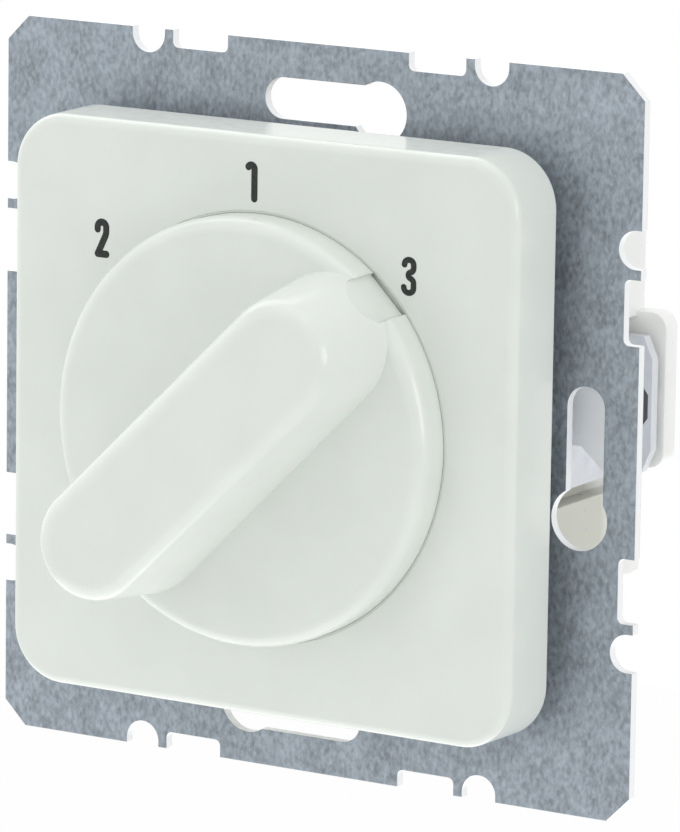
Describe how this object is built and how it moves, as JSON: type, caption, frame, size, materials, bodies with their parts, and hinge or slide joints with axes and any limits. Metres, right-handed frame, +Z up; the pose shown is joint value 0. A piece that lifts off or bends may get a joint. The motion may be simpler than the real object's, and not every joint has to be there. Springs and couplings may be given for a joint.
{
  "type": "rotary switch insert",
  "caption": "Square flush rotary switch insert: notched sheet-steel support frame, glossy white plate with position numerals, and a disc knob with a grip bar that turns in detents.",
  "frame": {"origin": "on the knob's axis, in the wall plane, which is the back face of the sheet-steel support frame", "axes": "+X right and +Z up as seen by a person facing the switch; +Y goes into the wall, so the knob points to -Y"},
  "size_m": [0.071, 0.0518, 0.071],
  "materials": {
    "galvanised_sheet": "galvanised sheet with a fine spangle",
    "claw_sheet": "bright zinc-plated sheet",
    "white_moulding": "glossy white thermoset",
    "cream_moulding": "satin cream thermoset",
    "grey_moulding": "satin grey thermoset",
    "dark_moulding": "dark moulded plastic",
    "zinc_screw": "bright zinc-plated steel",
    "spindle_steel": "turned steel",
    "spring_steel": "plain spring steel",
    "contact_brass": "stamped brass"
  },
  "bodies": {
    "insert": {"support_frame": "galvanised_sheet", "housing_base": "cream_moulding", "bearing_cover": "grey_moulding", "housing_screws": "zinc_screw", "cover_plate": "white_moulding", "plate_screws": "zinc_screw", "detent_spring_right": "spring_steel", "detent_spring_left": "spring_steel", "claw_screw_right": "zinc_screw", "claw_screw_left": "zinc_screw", "contact_common": "contact_brass", "contact_1": "contact_brass", "contact_2": "contact_brass", "contact_3": "contact_brass", "terminal_clamp_common": "zinc_screw", "terminal_clamp_1": "zinc_screw", "terminal_clamp_2": "zinc_screw", "terminal_clamp_3": "zinc_screw", "terminal_screw_common": "zinc_screw", "terminal_screw_1": "zinc_screw", "terminal_screw_2": "zinc_screw", "terminal_screw_3": "zinc_screw"},
    "knob": {"knob": "white_moulding", "knob_clip": "spring_steel", "spindle": "spindle_steel", "rotor": "dark_moulding", "contact_bridge": "contact_brass", "bridge_spring": "spring_steel"},
    "claw_right": {"claw_right": "claw_sheet"},
    "claw_left": {"claw_left": "claw_sheet"}
  },
  "joints": [
    {"name": "knob_turn", "type": "hinge", "parent": "insert", "child": "knob", "pos_m": [0, 0, 0], "axis": [0, -1, 0], "range_deg": [0, 90], "deforming": ["detent_spring_right", "detent_spring_left"]},
    {"name": "claw_right_swing", "type": "hinge", "parent": "insert", "child": "claw_right", "pos_m": [0.0209, 0.0016, -0.0003], "axis": [0, 0, -1], "range_deg": [0, 12]},
    {"name": "claw_left_swing", "type": "hinge", "parent": "insert", "child": "claw_left", "pos_m": [-0.0209, 0.0016, 0.0003], "axis": [0, 0, 1], "range_deg": [0, 12]}
  ]
}
